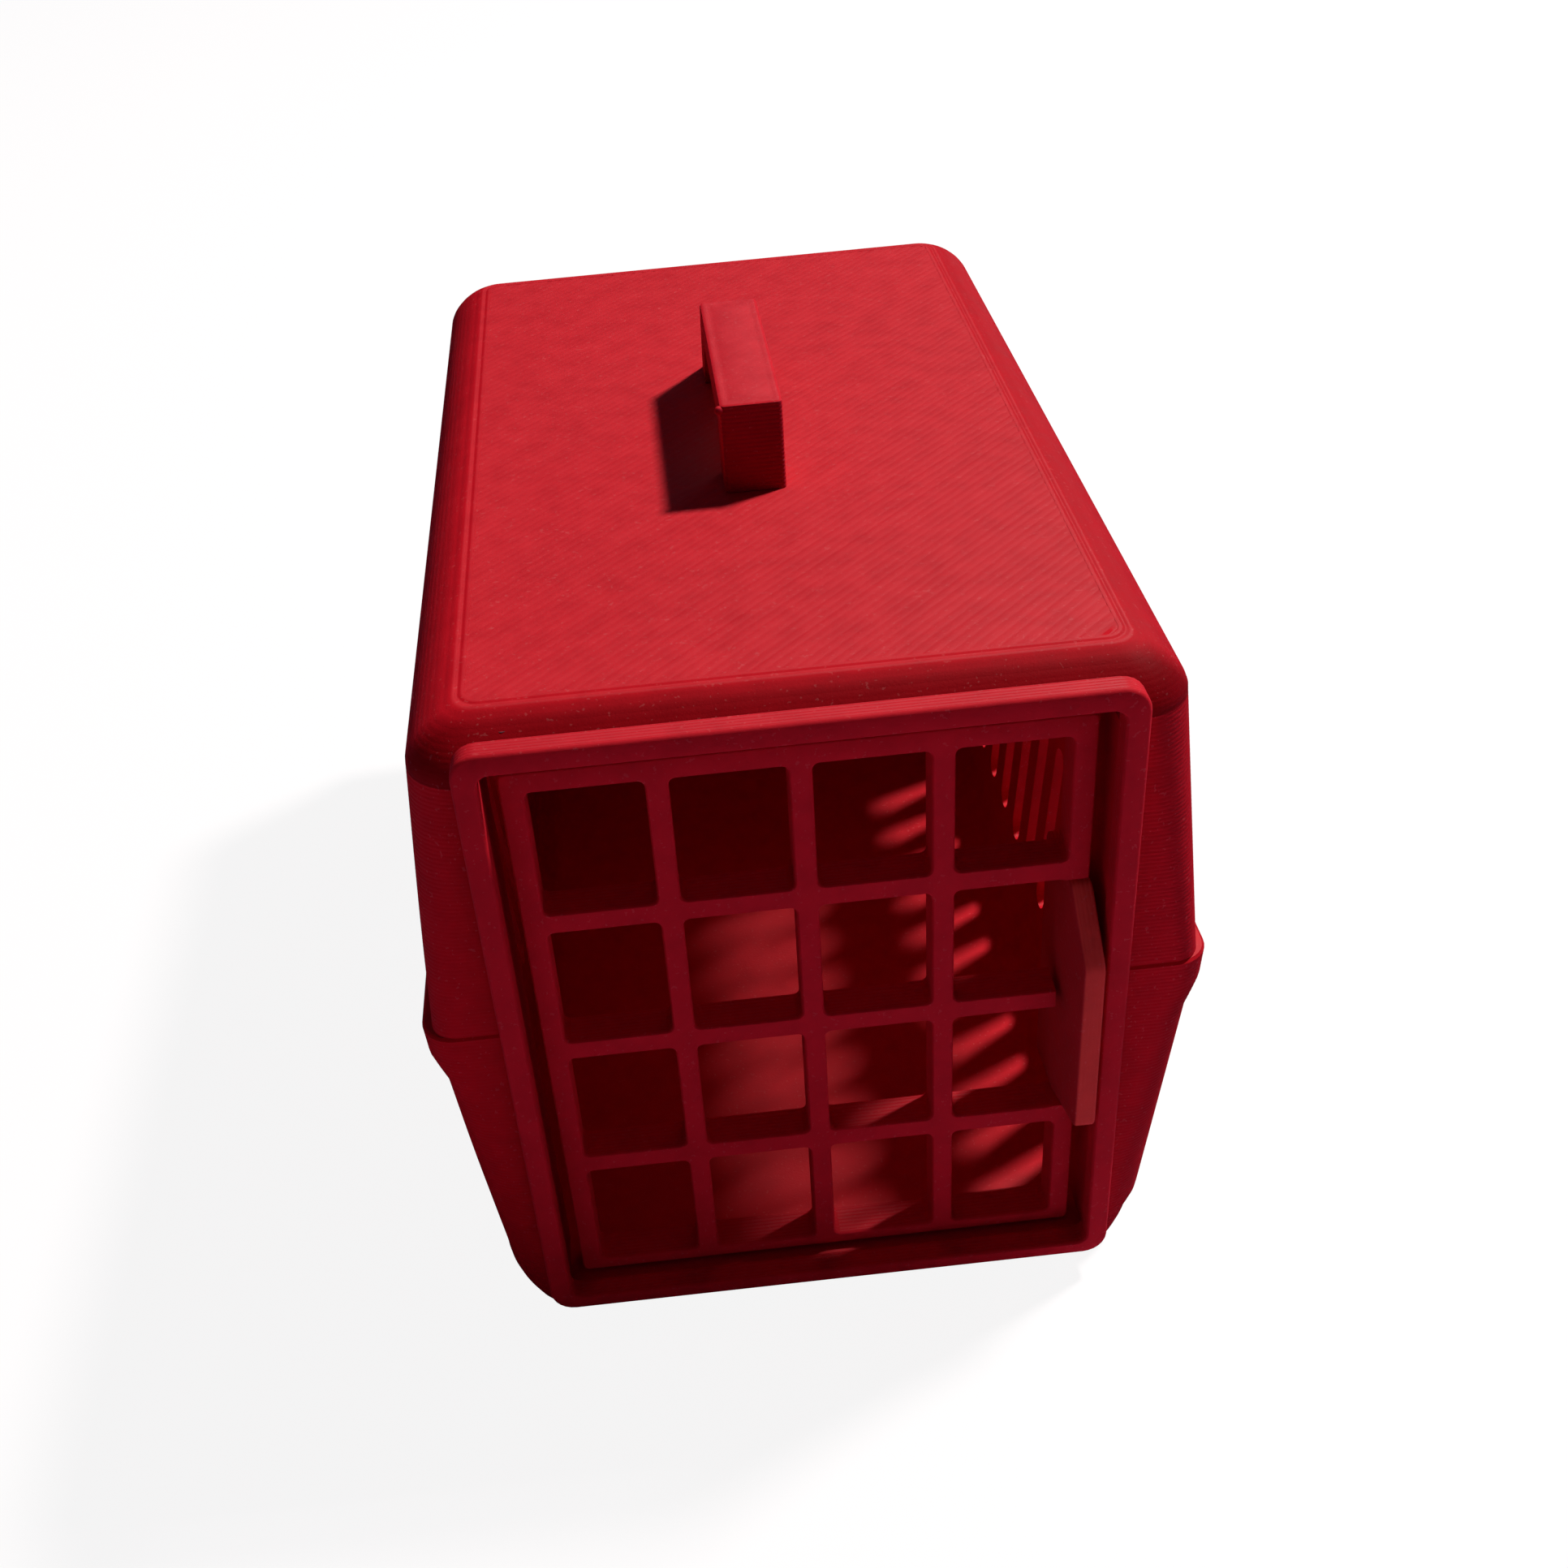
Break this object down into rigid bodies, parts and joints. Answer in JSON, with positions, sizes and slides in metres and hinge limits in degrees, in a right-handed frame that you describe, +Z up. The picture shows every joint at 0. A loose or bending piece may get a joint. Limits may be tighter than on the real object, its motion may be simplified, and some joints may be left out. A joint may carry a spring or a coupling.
{
  "type": "miniature pet carrier",
  "caption": "Small two-part vented carrier with a lipped seam, a hinged grille door in a proud surround, a rocking latch lever and a bar handle on the roof.",
  "frame": {"origin": "centre of the rest face, under the middle of the two shells", "axes": "+X to the right seen from the door, -Y out through the door, +Z up"},
  "size_m": [0.0344, 0.0532, 0.0372],
  "materials": {
    "printed_shell": "matt red, with fine printed layer lines and a diagonal raster on the roof",
    "printed_trim": "matt red, with fine printed layer lines",
    "pin_wire": "drawn wire"
  },
  "bodies": {
    "carrier": {"lower_shell": "printed_shell", "upper_shell": "printed_shell", "front_surround": "printed_trim", "upper_hinge_pin": "pin_wire", "lower_hinge_pin": "pin_wire", "carry_handle": "printed_trim", "shell_dowels": "printed_shell", "surround_pegs": "pin_wire"},
    "door": {"door_grille": "printed_trim", "latch_pivot_pin": "pin_wire"},
    "latch": {"latch_lever": "printed_trim"}
  },
  "joints": [
    {"name": "door_hinge", "type": "hinge", "parent": "carrier", "child": "door", "pos_m": [-0.01129, -0.02448, 0.0165], "axis": [0, 0, -1], "range_deg": [0, 90]},
    {"name": "latch_rock", "type": "hinge", "parent": "door", "child": "latch", "pos_m": [0.01099, -0.02448, 0.0165], "axis": [0, 0, -1], "range_deg": [0, 12]}
  ]
}
